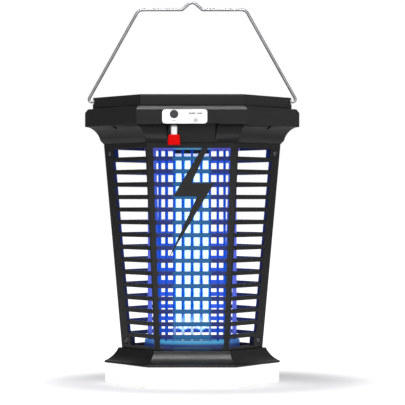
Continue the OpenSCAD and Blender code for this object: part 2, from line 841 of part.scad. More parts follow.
function flat(p) = [p[0], p[1]];
function run(i) = unit(flat(bail_corners[i]) - flat(bail_corners[i - 1]));
function turn(i) = let (a = run(i), b = run(i + 1)) atan2(a[0] * b[1] - a[1] * b[0], a * b);

// Points round the bend at corner i, a step of about 9 degrees apart
function bend(i) = let (
    r = bail_corners[i][2],
    a = run(i),
    way = sign(turn(i)),
    centre = flat(bail_corners[i]) - a * r * tan(abs(turn(i)) / 2) + r * way * [-a[1], a[0]],
    from = atan2(a[1], a[0]) - 90 * way,
    steps = ceil(abs(turn(i)) / 9))
    [for (j = [0 : steps]) let (t = from + turn(i) * j / steps)
        [centre[0] + r * cos(t), 0, centre[1] + r * sin(t)]];

module bail_handle() {
    last = len(bail_corners) - 1;
    color("silver") {
        swept(concat([[pin_end, 0, bail_z]], [for (i = [1 : last - 1]) each bend(i)],
            [[-pin_end, 0, bail_z]]), wire_r - 0.02, 16);
        for (side = [-1, 1]) translate([side > 0 ? wire_end : -pin_end, 0, bail_z])
            rotate([0, 90, 0]) cylinder(r = wire_r, h = pin_end - wire_end);
    }
}

module bail_bushes() {
    color("gainsboro") for (side = [0, 180]) rotate([0, 0, side])
        translate([87.5, 0, bail_z]) rotate([0, 90, 0]) difference() {
            cylinder(r = 2.4, h = 10);
            translate([0, 0, -over]) cylinder(r = wire_r + 0.05, h = 12);
        }
}

module bail_retainers() {
    color(steel) for (side = [0, 180]) rotate([0, 0, side])
        translate([85.4, 0, bail_z]) rotate([0, 90, 0]) difference() {
            cylinder(r = 2.3, h = 1.2);
            translate([0, 0, -over]) cylinder(r = wire_r, h = 4);
        }
}

head_housing();
top_cover();
top_gasket();
cover_screws();
control_plate();
power_button();
indicator_lens();
control_board();
button_switch();
indicator_led();
selector_lever();
selector_knob();
selector_switch();
main_board();
hv_transformer();
hv_capacitors();
lamp_socket();
battery_cells();
battery_cradle();
charge_board();
charge_socket();
port_bezel();
port_flap();
head_floor();
floor_screws();
board_screws();
lamp_base();
uv_tubes();
upper_insulator();
lower_insulator();
insulator_screws();
live_grid_rods();
ground_grid_rods();
live_bus_ring();
ground_bus_ring();
front_grille();
rear_grille();
grille_screws();
lower_skirt();
lantern_led_board();
lantern_leds();
lantern_lead();
collection_tray();
bail_handle();
bail_bushes();
bail_retainers();
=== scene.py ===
"""Looks of the hanging electric insect killer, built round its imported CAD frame.

Metres. +Z is up, the controls face -Y, and two corners of the hexagonal plan lie on the X axis.
"""

import json
import math

import bmesh
import bpy
import numpy as np
from mathutils import Matrix, Vector


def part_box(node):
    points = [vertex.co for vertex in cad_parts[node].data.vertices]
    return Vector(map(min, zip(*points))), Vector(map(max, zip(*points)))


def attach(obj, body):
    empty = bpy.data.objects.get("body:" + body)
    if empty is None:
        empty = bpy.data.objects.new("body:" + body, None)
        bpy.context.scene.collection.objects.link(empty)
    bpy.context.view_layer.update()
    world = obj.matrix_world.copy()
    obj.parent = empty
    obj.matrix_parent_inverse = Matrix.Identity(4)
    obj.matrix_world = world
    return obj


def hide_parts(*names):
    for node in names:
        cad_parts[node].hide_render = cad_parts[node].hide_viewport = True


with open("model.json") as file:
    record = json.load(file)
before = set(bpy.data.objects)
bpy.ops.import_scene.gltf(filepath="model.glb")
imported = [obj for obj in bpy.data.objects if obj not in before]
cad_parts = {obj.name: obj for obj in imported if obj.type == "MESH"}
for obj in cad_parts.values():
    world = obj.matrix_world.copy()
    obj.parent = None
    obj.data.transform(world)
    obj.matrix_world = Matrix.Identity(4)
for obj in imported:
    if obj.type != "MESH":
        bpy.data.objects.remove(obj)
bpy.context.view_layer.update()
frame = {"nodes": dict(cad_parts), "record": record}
RECORD = frame["record"]
MM = 0.001
BODY_OF = {n: b for b, members in RECORD["behaviour"]["bodies"].items() for n in members}
SLOT_OF = {s["node"]: s["material_slot"] for s in RECORD["subparts"]}

# ---------------------------------------------------------------- materials


def rgba(color):
    """A colour tuple with its alpha added, or a socket as it is."""
    return (*color, 1) if isinstance(color, tuple) else color


class Material:
    """A Principled material and short calls for the nodes that feed it."""

    def __init__(self, name, color, roughness, **sockets):
        self.mat = bpy.data.materials.new(name)
        self.mat.use_nodes = True
        self.tree = self.mat.node_tree
        self.shader = self.tree.nodes["Principled BSDF"]
        self.shader.inputs["Base Color"].default_value = (*color, 1)
        self.shader.inputs["Roughness"].default_value = roughness
        for socket, value in sockets.items():
            self.shader.inputs[socket.replace("_", " ")].default_value = value
        self.color = color
        self.roughness = roughness
        self.place = self.node("ShaderNodeTexCoord").outputs["Object"]

    def node(self, kind, inputs=(), **settings):
        made = self.tree.nodes.new(kind)
        for name, value in settings.items():
            setattr(made, name, value)
        for socket, value in dict(inputs).items():
            self.feed(made.inputs[socket], value)
        return made

    def feed(self, socket, value):
        if isinstance(value, bpy.types.NodeSocket):
            self.tree.links.new(value, socket)
        else:
            socket.default_value = value

    def stretched(self, scale):
        """Object coordinates scaled differently along each axis."""
        made = self.node("ShaderNodeMapping", {"Vector": self.place, "Scale": scale})
        return made.outputs["Vector"]

    def noise(self, size_mm, detail=3.0, rough=0.5, vector=None):
        """Noise whose lumps are about size_mm across, 0 to 1."""
        inputs = {
            "Vector": vector or self.place,
            "Scale": 1000.0 / size_mm,
            "Detail": detail,
            "Roughness": rough,
        }
        made = self.node("ShaderNodeTexNoise", inputs)
        return made.outputs["Fac"]

    def remap(self, value, low, high, out_low=0.0, out_high=1.0, smooth=False):
        """The value's range from low to high, stretched to out_low to out_high and clamped."""
        inputs = {
            "Value": value,
            "From Min": low,
            "From Max": high,
            "To Min": out_low,
            "To Max": out_high,
        }
        course = "SMOOTHSTEP" if smooth else "LINEAR"
        made = self.node("ShaderNodeMapRange", inputs, interpolation_type=course)
        return made.outputs["Result"]

    def math(self, operation, a, b=0.0):
        made = self.node("ShaderNodeMath", {0: a, 1: b}, operation=operation)
        return made.outputs["Value"]

    def vector_math(self, operation, *vectors):
        return self.node("ShaderNodeVectorMath", dict(enumerate(vectors)), operation=operation)

    def product(self, *factors):
        value = factors[0]
        for factor in factors[1:]:
            value = self.math("MULTIPLY", value, factor)
        return value

    def split(self, vector):
        made = self.node("ShaderNodeSeparateXYZ", {"Vector": vector})
        return [made.outputs[axis] for axis in "XYZ"]

    def mix(self, factor, a, b):
        made = self.node("ShaderNodeMix", {0: factor}, data_type="RGBA")
        self.feed(made.inputs[6], rgba(a))
        self.feed(made.inputs[7], rgba(b))
        return made.outputs[2]

    def paint(self, color):
        self.feed(self.shader.inputs["Base Color"], color)
        self.painted = color

    def vary_color(self, amount, size_mm):
        """Lighter and darker clouds of the base colour."""
        cloud = self.noise(size_mm, 4.0)
        low = tuple(c * (1 - amount) for c in self.color)
        high = tuple(min(1.0, c * (1 + amount)) for c in self.color)
        self.paint(self.mix(self.remap(cloud, 0.3, 0.7), low, high))

    def vary_roughness(self, amount, size_mm):
        cloud = self.noise(size_mm, 3.0)
        rough = self.remap(cloud, 0.3, 0.7, self.roughness - amount, self.roughness + amount)
        self.feed(self.shader.inputs["Roughness"], rough)

    def bump(self, height, depth_mm):
        inputs = {"Height": height, "Distance": depth_mm * MM, "Strength": 1.0}
        made = self.node("ShaderNodeBump", inputs)
        self.feed(self.shader.inputs["Normal"], made.outputs["Normal"])

    def worn_and_highlit_edges(self, color, amount):
        """Rubbed colour along convex edges, broken up by noise: edge wear and a painted edge
        highlight.
        """
        point = self.node("ShaderNodeNewGeometry").outputs["Pointiness"]
        edge = self.remap(point, 0.53, 0.6, 0.0, amount)
        rubbed_and_highlit = self.math("MULTIPLY", edge, self.noise(6.0, 5.0, 0.7))
        self.paint(self.mix(rubbed_and_highlit, self.painted, color))

    def glow(self, color, strength=1.0):
        self.feed(self.shader.inputs["Emission Color"], rgba(color))
        self.feed(self.shader.inputs["Emission Strength"], strength)


def moulded(name, color, roughness, grain_mm=0.45, depth_mm=0.012, edge_wear_and_highlight=None, **sockets):
    """Injection-moulded plastic: fine spark grain, slow gloss changes, and rubbed edges that are
    partly a painted edge highlight.
    """
    made = Material(name, color, roughness, **sockets)
    made.vary_color(0.07, 35.0)
    made.vary_roughness(0.025, 22.0)
    made.bump(made.noise(grain_mm, 2.0), depth_mm)
    if edge_wear_and_highlight:
        made.worn_and_highlit_edges(edge_wear_and_highlight, 0.5)
    return made


def drawn_steel(name, color, roughness, axis_scale):
    """Bright wire or rod with die marks along its length."""
    made = Material(name, color, roughness, Metallic=1.0)
    marks = made.noise(0.25, 2.0, vector=made.stretched(axis_scale))
    made.vary_color(0.08, 9.0)
    rough = made.remap(marks, 0.3, 0.7, roughness - 0.06, roughness + 0.08)
    made.feed(made.shader.inputs["Roughness"], rough)
    made.bump(marks, 0.006)
    return made


BLACK = (0.0078, 0.0078, 0.0080)
# Lighter colour of convex edges: rubbed wear, and partly a painted edge highlight
WORN_AND_HIGHLIT_BLACK = (0.028, 0.028, 0.029)
# Colours of painted light: the lamp's blue on the cage's inner walls, and teal and navy glow on
# its front bars
PAINTED_LAMP_BLUE = (0.025, 0.095, 0.80)
PAINTED_GLOW_TEAL = (0.0, 0.105, 0.30)
PAINTED_GLOW_NAVY = (0.0, 0.012, 0.165)
LAMP_LOW = 0.046
LAMP_HIGH = 0.234
LAMP_FADE = 0.012
BETWEEN_INSULATORS = (0.100, 0.101)   # a height that tells the lower ring from the upper one


def lamp_height(made, z):
    """1 beside the lamp, fading out past its two ends: the height mask of the painted lamp light.
    """
    rise = made.remap(z, LAMP_LOW - LAMP_FADE, LAMP_LOW + LAMP_FADE, smooth=True)
    fall = made.remap(z, LAMP_HIGH - LAMP_FADE, LAMP_HIGH + LAMP_FADE, 1.0, 0.0, smooth=True)
    return made.product(rise, fall)


def black_with_painted_glow():
    """Black moulding with painted lamp light on its inner walls, and a painted glow round its
    front bars.
    """
    made = moulded("black_abs", BLACK, 0.33, edge_wear_and_highlight=WORN_AND_HIGHLIT_BLACK, Specular_IOR_Level=0.32)
    x, y, z = made.split(made.place)
    normal = made.node("ShaderNodeNewGeometry").outputs["Normal"]
    flat = made.node("ShaderNodeCombineXYZ", {"X": x, "Y": y}).outputs["Vector"]
    outward = made.vector_math("NORMALIZE", flat).outputs["Vector"]
    facing = made.vector_math("DOT_PRODUCT", normal, outward).outputs["Value"]
    across = made.math("ABSOLUTE", x)
    n_y = made.math("ABSOLUTE", made.split(normal)[1])

    # Painted lamp light on the inner sides of the cage, those of the front and back walls most
    inside = made.remap(facing, -0.75, -0.15, 1.0, 0.0, smooth=True)
    cloud = made.remap(made.noise(22.0), 0.3, 0.7, 0.75, 1.1)
    faced = made.remap(n_y, 0.6, 0.9, 0.10, 1.0)
    inner = made.product(inside, lamp_height(made, z), cloud, faced)

    # A painted glow on the outer sides of the front and back walls, dim on the lowest bar, none at
    # the top one
    front_wall = made.product(made.remap(n_y, 0.9, 0.97), made.remap(facing, 0.5, 0.8))
    above_rim = made.remap(z, 0.0345, 0.0352)
    rise = made.remap(z, 0.036, 0.046, 0.22, 1.0)
    fall = made.remap(z, 0.226, 0.232, 1.0, 0.0)
    front = made.product(front_wall, above_rim, made.product(rise, fall))

    # The painted glow only between the posts, whose window is narrower at its foot, and teal in
    # its middle
    below = made.math("SUBTRACT", CAGE_HIGH.z, z)
    half = made.math("ADD", across, made.product(below, WINDOW_FLARE))
    window = made.remap(half, WINDOW_HALF - 0.002, WINDOW_HALF, 1.0, 0.0, smooth=True)
    middle = made.remap(across, 0.0165, 0.0205, 1.0, 0.0, smooth=True)
    halo = made.mix(middle, PAINTED_GLOW_NAVY, PAINTED_GLOW_TEAL)
    color = made.mix(inside, halo, PAINTED_LAMP_BLUE)
    strength = made.math("ADD", inner, made.product(front, window))
    made.glow(color, strength)
    return made


def grid_steel():
    """Polished rods, blue from painted lamp light in their base colour and their glow.

    In the painted glow the feet of those in front of the lamp are nearly white, and the outermost
    ones are paler.
    """
    # The blue base colour and the glow below are painted lamp light
    made = drawn_steel("grid_steel", (0.015, 0.055, 0.20), 0.32, (1, 1, 0.05))
    x, _, z = made.split(made.place)
    across = made.math("ABSOLUTE", x)
    middle = made.remap(across, 0.014, 0.020, 1.0, 0.0, smooth=True)
    low = made.remap(z, 0.058, 0.072, 1.0, 0.0, smooth=True)
    hue = made.mix(made.product(middle, low), (0.002, 0.055, 0.50), (0.45, 0.72, 0.95))
    outer = made.remap(across, 0.034, 0.040, smooth=True)
    hue = made.mix(outer, hue, (0.10, 0.13, 0.62))
    made.glow(hue, lamp_height(made, z))
    return made


def insulator():
    """Milky ceramic-like plastic whose glow is painted lamp light.

    The painted glow is brightest on the lower ring's upper edge, and less so at its sides. The
    upper ring's painted glow is cyan in front of the lamp and violet beside it.
    """
    made = moulded("insulator", (0.06, 0.10, 0.14), 0.4, 0.6, 0.01)
    x, _, z = made.split(made.place)
    across = made.math("ABSOLUTE", x)
    lower = made.remap(z, 0.0395, 0.0420, 0.22, 0.85)
    upper = made.remap(z, *BETWEEN_INSULATORS, 1.0, 0.55)
    middle = made.remap(across, 0.012, 0.022, 1.0, 0.0, smooth=True)
    above = made.mix(middle, (0.14, 0.12, 0.85), (0.10, 0.45, 0.75))
    rim = made.mix(made.remap(across, 0.028, 0.040), (0.045, 0.34, 0.60), (0.03, 0.14, 0.40))
    below = made.mix(made.remap(z, 0.0390, 0.0415), (0.02, 0.06, 0.50), rim)
    hue = made.mix(made.remap(z, *BETWEEN_INSULATORS), below, above)
    made.glow(hue, made.product(lower, upper))
    return made


def lit_phosphor():
    """The lit coating inside the lamp's glass: white-cyan, with a slight streak."""
    made = Material("lamp_phosphor", (0.7, 0.85, 1.0), 0.5)
    streak = made.noise(14.0, 2.0, vector=made.stretched((1, 1, 0.15)))
    hue = made.mix(made.remap(streak, 0.35, 0.65), (0.80, 0.95, 1.0), (0.95, 1.0, 1.0))
    made.glow(hue, 1.9)
    made.vary_color(0.04, 20.0)
    return made


def selector_stem():
    """Milky plastic stem with a faint painted glow, and painted shade at its root inside the slot.
    """
    made = moulded("selector_stem", (0.85, 0.85, 0.86), 0.25, 0.6, 0.006)
    z = made.split(made.place)[2]
    # Painted shade darkens the root in the slot; the rest gets a faint painted glow
    unshaded = made.remap(z, 0.2515, 0.2545, 1.0, 0.0, smooth=True)
    made.paint(made.mix(unshaded, (0.03, 0.03, 0.03), made.painted))
    made.glow((1.0, 1.0, 1.0), made.product(unshaded, 0.25))
    return made


def lamp_glass():
    """The tube's wall: blue glass, thin enough to see the coating through."""
    made = Material("lamp_glass", (0.12, 0.30, 0.60), 0.08, Alpha=0.5)
    made.glow((0.01, 0.26, 0.70))
    made.vary_color(0.04, 20.0)
    made.bump(made.noise(6.0), 0.01)
    return made


def lit_tray():
    """Milky plastic with the lantern's light in it, a little warmer towards the foot, with painted
    shade along the foot.
    """
    made = Material("tray_plastic", (0.9, 0.9, 0.88), 0.28)
    height = made.split(made.place)[2]
    color = made.mix(made.remap(height, 0.0, 0.006), (1.0, 0.96, 0.86), (1.0, 0.99, 0.97))
    milk = made.remap(made.noise(25.0), 0.3, 0.7, 0.74, 0.80)
    # The glow is dimmed to 0.7 over the lowest 1.5 mm: painted shade along the foot
    made.glow(color, made.product(milk, made.remap(height, 0.0, 0.0015, 0.7, 1.0)))
    made.vary_color(0.02, 30.0)
    made.vary_roughness(0.04, 12.0)
    made.bump(made.noise(0.8), 0.008)
    return made


def cell_wrap():
    """Shrink wrap, bare metal at the two ends of the cells."""
    made = moulded("shrink_wrap", (0.03, 0.3, 0.12), 0.28, 3.0, 0.02)
    across = made.math("ABSOLUTE", made.split(made.place)[0])
    end = made.remap(across, 0.0305, 0.0307)
    made.paint(made.mix(end, made.painted, (0.55, 0.55, 0.55)))
    made.feed(made.shader.inputs["Metallic"], end)
    return made


def bail_wire():
    """Zinc-plated wire, slightly mottled."""
    made = Material("bail_wire", (0.44, 0.44, 0.45), 0.38, Metallic=1.0)
    made.vary_color(0.06, 12.0)
    made.vary_roughness(0.05, 6.0)
    made.bump(made.noise(0.5, 2.0), 0.0012)
    return made


def circuit_board(name, color, trace):
    """Solder mask with copper tracks showing through it as a fine pattern."""
    made = moulded(name, color, 0.3, 1.2, 0.02)
    inputs = {
        "Vector": made.place,
        "Color1": (1, 1, 1, 1),
        "Color2": (0.6, 0.6, 0.6, 1),
        "Mortar": (0, 0, 0, 1),
        "Scale": 120.0,
        "Mortar Size": 0.12,
    }
    tracks = made.node("ShaderNodeTexBrick", inputs)
    made.paint(made.mix(tracks.outputs["Color"], trace, made.painted))
    made.bump(tracks.outputs["Color"], 0.02)
    return made


CAGE_LOW, CAGE_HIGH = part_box("front_grille")
COS_30 = math.cos(math.radians(30))
CAGE_FLARE = 0.0891     # corner radius that the cage gains per height
CAGE_PLANE = CAGE_HIGH.x * COS_30 - CAGE_FLARE * COS_30 * CAGE_HIGH.z
FRONT_POST = 6.4 * MM
FRONT_POST_FOOT = 4.3 * MM
WINDOW_HALF = CAGE_HIGH.x / 2 - FRONT_POST
WINDOW_FLARE = CAGE_FLARE / 2 - (FRONT_POST - FRONT_POST_FOOT) / (CAGE_HIGH.z - CAGE_LOW.z)

MATERIALS = {
    "black_plastic": black_with_painted_glow(),
    "dark_plastic": moulded("dark_abs", (0.03, 0.03, 0.032), 0.4),
    "rubber": moulded("rubber", (0.012, 0.012, 0.013), 0.75, 0.8, 0.02),
    "screw_steel": drawn_steel("screw_steel", (0.16, 0.16, 0.17), 0.34, (1, 1, 1)),
    "label_plate": moulded("label_film", (0.88, 0.88, 0.88), 0.3, 0.3, 0.004),
    "lens": moulded("lens", (0.55, 0.56, 0.55), 0.2, 1.5, 0.005),
    "circuit_board": circuit_board("solder_mask", (0.01, 0.12, 0.045), (0.03, 0.2, 0.07)),
    "white_board": circuit_board("white_solder_mask", (0.8, 0.8, 0.78), (0.7, 0.66, 0.55)),
    "selector_stem": selector_stem(),
    "red_plastic": moulded(
        "red_knob", (0.56, 0.0, 0.0), 0.45, 0.5, 0.006, Specular_IOR_Level=0.08
    ),
    "transformer": moulded("winding_tape", (0.5, 0.28, 0.04), 0.45, 2.0, 0.05),
    "capacitor": moulded("dipped_blue", (0.03, 0.09, 0.35), 0.25, 2.5, 0.03),
    "insulator": insulator(),
    "cell_wrap": cell_wrap(),
    "socket_metal": drawn_steel("socket_metal", (0.6, 0.6, 0.6), 0.28, (1, 0.1, 1)),
    "lamp_glass": lamp_glass(),
    "grid_steel": grid_steel(),
    "bus_brass": drawn_steel("bus_brass", (0.75, 0.55, 0.22), 0.3, (1, 1, 1)),
    "lead": moulded("lead_jacket", (0.6, 0.6, 0.6), 0.4, 1.0, 0.01),
    "tray_plastic": lit_tray(),
    "bail_wire": bail_wire(),
    "bush": moulded("nylon_bush", (0.05, 0.05, 0.05), 0.4, 0.8, 0.01),
}
# Painted light: a faint red glow on the knob and a white glow on the label, neither a lamp
MATERIALS["red_plastic"].glow((0.10, 0.0, 0.0))
MATERIALS["label_plate"].glow((1.0, 1.0, 1.0), 0.12)
CERAMIC = moulded("ceramic_seal", (0.7, 0.72, 0.78), 0.45, 0.8, 0.01)
# The collars' blue glow is painted lamp light
CERAMIC.glow((0.42, 0.50, 0.85))
PHOSPHOR = lit_phosphor()
BOLT_BLACK = moulded("bolt_black", BLACK, 0.36, edge_wear_and_highlight=WORN_AND_HIGHLIT_BLACK, Specular_IOR_Level=0.32)
GREY_INK = moulded("grey_ink", (0.10, 0.10, 0.105), 0.5, 0.3, 0.003)

# ---------------------------------------------------------------- mesh helpers


def add_piece(name, mesh, node, look=None, replaced=True):
    """A new object that rides with node's body and takes its slot's material, or the look given.
    """
    piece = bpy.data.objects.new(name, mesh)
    bpy.context.collection.objects.link(piece)
    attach(piece, BODY_OF[node])
    if replaced:
        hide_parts(node)
    mesh.materials.clear()
    mesh.materials.append((look or MATERIALS[SLOT_OF[node]]).mat)
    return piece


def stored(bm, name):
    mesh = bpy.data.meshes.new(name)
    bm.to_mesh(mesh)
    bm.free()
    return mesh


def mesh_from(bm, name):
    """The bmesh as a mesh whose faces all look outwards."""
    bmesh.ops.recalc_face_normals(bm, faces=bm.faces)
    return stored(bm, name)


def smooth_by_angle(mesh, degrees=35):
    """Smooth faces with the sharp edges marked."""
    bm = bmesh.new()
    bm.from_mesh(mesh)
    for face in bm.faces:
        face.smooth = True
    for edge in bm.edges:
        edge.smooth = edge.calc_face_angle(0.0) < math.radians(degrees)
    bm.to_mesh(mesh)
    bm.free()
    return mesh


def welded(node):
    """The CAD node's surface as one welded bmesh, with flat areas in larger faces."""
    bm = bmesh.new()
    bm.from_mesh(frame["nodes"][node].data)
    bmesh.ops.remove_doubles(bm, verts=bm.verts, dist=2e-6)
    bmesh.ops.dissolve_degenerate(bm, edges=bm.edges, dist=1e-6)
    bmesh.ops.join_triangles(
        bm,
        faces=bm.faces,
        angle_face_threshold=math.radians(0.5),
        angle_shape_threshold=math.radians(180),
    )
    return bm


def islands(node):
    """The vertices of each separate solid in a CAD node, one array for each."""
    bm = welded(node)
    seen = set()
    found = []
    for start in bm.verts:
        if start in seen:
            continue
        seen.add(start)
        stack = [start]
        points = []
        while stack:
            vert = stack.pop()
            points.append(tuple(vert.co))
            for edge in vert.link_edges:
                other = edge.other_vert(vert)
                if other not in seen:
                    seen.add(other)
                    stack.append(other)
        found.append(np.array(points, float))
    bm.free()
    return found


def lathe(bm, profile, segments, matrix=Matrix()):
    """A closed turned solid. Its profile, radius and height, starts and ends on the axis."""
    turns = [2 * math.pi * i / segments for i in range(segments)]
    rings = []
    for radius, height in profile:
        if radius < 1e-9:
            rings.append([bm.verts.new(matrix @ Vector((0, 0, height)))])
            continue
        ring = [Vector((radius * math.cos(t), radius * math.sin(t), height)) for t in turns]
        rings.append([bm.verts.new(matrix @ point) for point in ring])
    for below, above in zip(rings, rings[1:]):
        for i in range(segments):
            corners = [below[i % len(below)], below[(i + 1) % len(below)]]
            corners += [above[(i + 1) % len(above)], above[i % len(above)]]
            bm.faces.new(list(dict.fromkeys(corners)))


def sweep(bm, path, radius, sides, dome=0.5):
    """A round bar along a path of points, with domed ends."""
    path = [Vector(p) for p in path]
    angles = [math.radians(a) for a in (75, 50, 25)]

    def cap(end, beside):
        way = (end - beside).normalized() * radius * dome
        return [(end + way * math.sin(a), radius * math.cos(a)) for a in angles]

    stations = cap(path[0], path[1])
    stations += [(p, radius) for p in path]
    stations += reversed(cap(path[-1], path[-2]))
    turns = [2 * math.pi * k / sides for k in range(sides)]
    side = None
    rings = []
    for i, (place, r) in enumerate(stations):
        before = stations[max(i - 1, 0)][0]
        after = stations[min(i + 1, len(stations) - 1)][0]
        way = (after - before).normalized()
        side = way.orthogonal() if side is None else side - way * side.dot(way)
        side.normalize()
        up = way.cross(side)
        ring = [place + r * (math.cos(t) * side + math.sin(t) * up) for t in turns]
        rings.append([bm.verts.new(point) for point in ring])
    for one, two in zip(rings, rings[1:]):
        for k in range(sides):
            bm.faces.new((one[k], one[(k + 1) % sides], two[(k + 1) % sides], two[k]))
    bm.faces.new(rings[0])
    bm.faces.new(rings[-1])


def soften(piece, width_mm):
    """Small rounds on every sharp edge, with the flats kept flat."""
    for polygon in piece.data.polygons:
        polygon.use_smooth = True
    bevel = piece.modifiers.new("edge_rounds", "BEVEL")
    bevel.width = width_mm * MM
    bevel.segments = 2
    bevel.limit_method = "ANGLE"
    bevel.angle_limit = math.radians(28)
    bevel.use_clamp_overlap = False
    weighted = piece.modifiers.new("flat_normals", "WEIGHTED_NORMAL")
    weighted.weight = 80
    weighted.keep_sharp = True


# ---------------------------------------------------------------- mouldings

# Mouldings whose packed surface is kept, and the millimetres of round on their edges
ROUNDED = {
    "head_housing": 0.45,
    "rear_grille": 0.45,
    "lower_skirt": 0.6,
    "collection_tray": 0.8,
    "head_floor": 0.3,
    "power_button": 0.5,
    "selector_knob": 0.8,
    "selector_lever": 0.3,
    "port_bezel": 0.1,
    "port_flap": 0.1,
    "lamp_base": 0.6,
    "lamp_socket": 0.4,
    "upper_insulator": 0.3,
    "lower_insulator": 0.3,
    "indicator_lens": 0.3,
    "selector_switch": 0.3,
    "battery_cradle": 0.4,
    "hv_transformer": 0.5,
    "hv_capacitors": 0.6,
    "bail_bushes": 0.2,
}
COVER_ROUND = 0.4     # the same for the cover, which gets a panel first
for node, width in ROUNDED.items():
    soften(add_piece(node + "_moulding", stored(welded(node), node), node), width)


def top_cover():
    """The cover, with a shallow panel let into its upper face, 9 mm in from the edges."""
    bm = welded("top_cover")
    top = max(v.co.z for v in bm.verts)
    lid = [f for f in bm.faces if f.normal.z > 0.99 and f.calc_center_median().z > top - 1e-5]
    for thickness, depth in ((9 * MM, 0.0), (0.9 * MM, -0.7 * MM)):
        bmesh.ops.inset_region(bm, faces=lid, thickness=thickness, depth=depth)
    piece = add_piece("top_cover_moulding", stored(bm, "top_cover"), "top_cover")
    soften(piece, COVER_ROUND)


# The plate's corner radius and its two holes, in millimetres: x, height and radius
PLATE_CORNER = 3.0
BUTTON_HOLE = (-17.1, 264.9, 4.15)
INDICATOR_HOLE = (3.7, 259.0, 2.0)


def control_plate():
    """The plate, its rim and the rims of its two holes rounded."""
    low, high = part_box("control_plate")
    middle = (low + high) / (2 * MM)
    reach_x = (high.x - low.x) / (2 * MM) - PLATE_CORNER
    reach_z = (high.z - low.z) / (2 * MM) - PLATE_CORNER
    thick = (high.y - low.y) / MM
    quarters = ((1, 1), (-1, 1), (-1, -1), (1, -1))

    def outline(inset):
        radius = PLATE_CORNER - inset
        for quarter, (side, rise) in enumerate(quarters):
            for i in range(9):
                t = math.radians(90 * quarter + 90 * i / 8)
                x = middle.x + side * reach_x + radius * math.cos(t)
                yield x, middle.z + rise * reach_z + radius * math.sin(t)

    def hole(x, z, radius):
        def rim(inset):
            for i in range(40):
                t = math.radians(9 * i)
                yield x + (radius + inset) * math.cos(t), z + (radius + inset) * math.sin(t)

        return rim

    bm = bmesh.new()
    ends = ([], [])
    layers = ((0.0, 0.0), (thick - 0.2, 0.0), (thick - 0.06, 0.05), (thick, 0.2))
    for loop in (outline, hole(*BUTTON_HOLE), hole(*INDICATOR_HOLE)):
        rings = []
        for depth, inset in layers:
            y = high.y - depth * MM
            rings.append([bm.verts.new((x * MM, y, z * MM)) for x, z in loop(inset)])
        for back, front in zip(rings, rings[1:]):
            for k, vert in enumerate(back):
                after = (k + 1) % len(back)
                bm.faces.new((vert, back[after], front[after], front[k]))
        for ring, edges in zip((rings[0], rings[-1]), ends):
            edges += [bm.edges.get((a, b)) for a, b in zip(ring, ring[1:] + ring[:1])]
    for edges in ends:
        bmesh.ops.triangle_fill(bm, edges=edges, use_beauty=True)
    mesh = smooth_by_angle(mesh_from(bm, "control_plate"), 40)
    add_piece("control_plate_film", mesh, "control_plate")


# Corners of the bolt in millimetres, x and height, anticlockwise seen from the front
BOLT = [
    (-18.2, 185.7),
    (5.2, 185.7),
    (-23.5, 123.8),
    (21.9, 198.7),
    (-0.4, 198.7),
    (16.0, 233.5),
    (10.3, 233.5),
]
# The bolt's layers in millimetres: how far each stands out of the cage, and its inset
BOLT_LAYERS = ((-3.0, 0.0), (0.2, 0.0), (0.5, 0.3))


def front_grille():
    """The rear half turned round, and the bolt emblem laid over its bars."""
    bm = welded("rear_grille")
    half_turn = Matrix.Rotation(math.pi, 3, "Z")
    bmesh.ops.rotate(bm, verts=bm.verts, cent=(0, 0, 0), matrix=half_turn)
    piece = add_piece("front_grille_moulding", stored(bm, "front_grille"), "front_grille")
    soften(piece, ROUNDED["rear_grille"])

    bm = bmesh.new()
    rise = CAGE_FLARE * COS_30
    outline = [Vector(p) for p in BOLT]
    layers = []
    for proud, shrink in BOLT_LAYERS:
        ring = []
        for before, here, after in zip(outline[-1:] + outline, outline, outline[1:] + outline[:1]):
            a = (here - before).normalized()
            b = (after - here).normalized()
            inward = Vector((-a.y - b.y, a.x + b.x)).normalized() * shrink
            x, z = (here + inward) * MM
            ring.append(bm.verts.new((x, -(CAGE_PLANE + rise * z + proud * MM), z)))
        layers.append(ring)
    count = len(BOLT)
    for inner, outer in zip(layers, layers[1:]):
        for i in range(count):
            bm.faces.new((inner[i], inner[(i + 1) % count], outer[(i + 1) % count], outer[i]))
    bm.faces.new(layers[0])
    bm.faces.new(layers[-1])
    mesh = smooth_by_angle(mesh_from(bm, "bolt_emblem"), 20)
    add_piece("bolt_emblem", mesh, "front_grille", BOLT_BLACK)


control_plate()
front_grille()
top_cover()

# ---------------------------------------------------------------- wire, rods and lamp


def arc_path(corners):
    """Points along straight runs joined by arcs. Each corner is x, z and its bend's radius."""
    path = [Vector((corners[0][0], 0, corners[0][1]))]
    for before, here, after in zip(corners, corners[1:], corners[2:]):
        a = (Vector(here[:2]) - Vector(before[:2])).normalized()
        b = (Vector(after[:2]) - Vector(here[:2])).normalized()
        turn = math.atan2(a.x * b.y - a.y * b.x, a.dot(b))
        radius = here[2]
        start = Vector(here[:2]) - a * radius * math.tan(abs(turn) / 2)
        steps = max(2, round(abs(turn) / math.radians(5)))
        centre = start + radius * math.copysign(1, turn) * Vector((-a.y, a.x))
        arm = start - centre
        for i in range(steps + 1):
            t = turn * i / steps
            x = centre.x + arm.x * math.cos(t) - arm.y * math.sin(t)
            z = centre.y + arm.x * math.sin(t) + arm.y * math.cos(t)
            path.append(Vector((x, 0, z)))
    path.append(Vector((corners[-1][0], 0, corners[-1][1])))
    return path


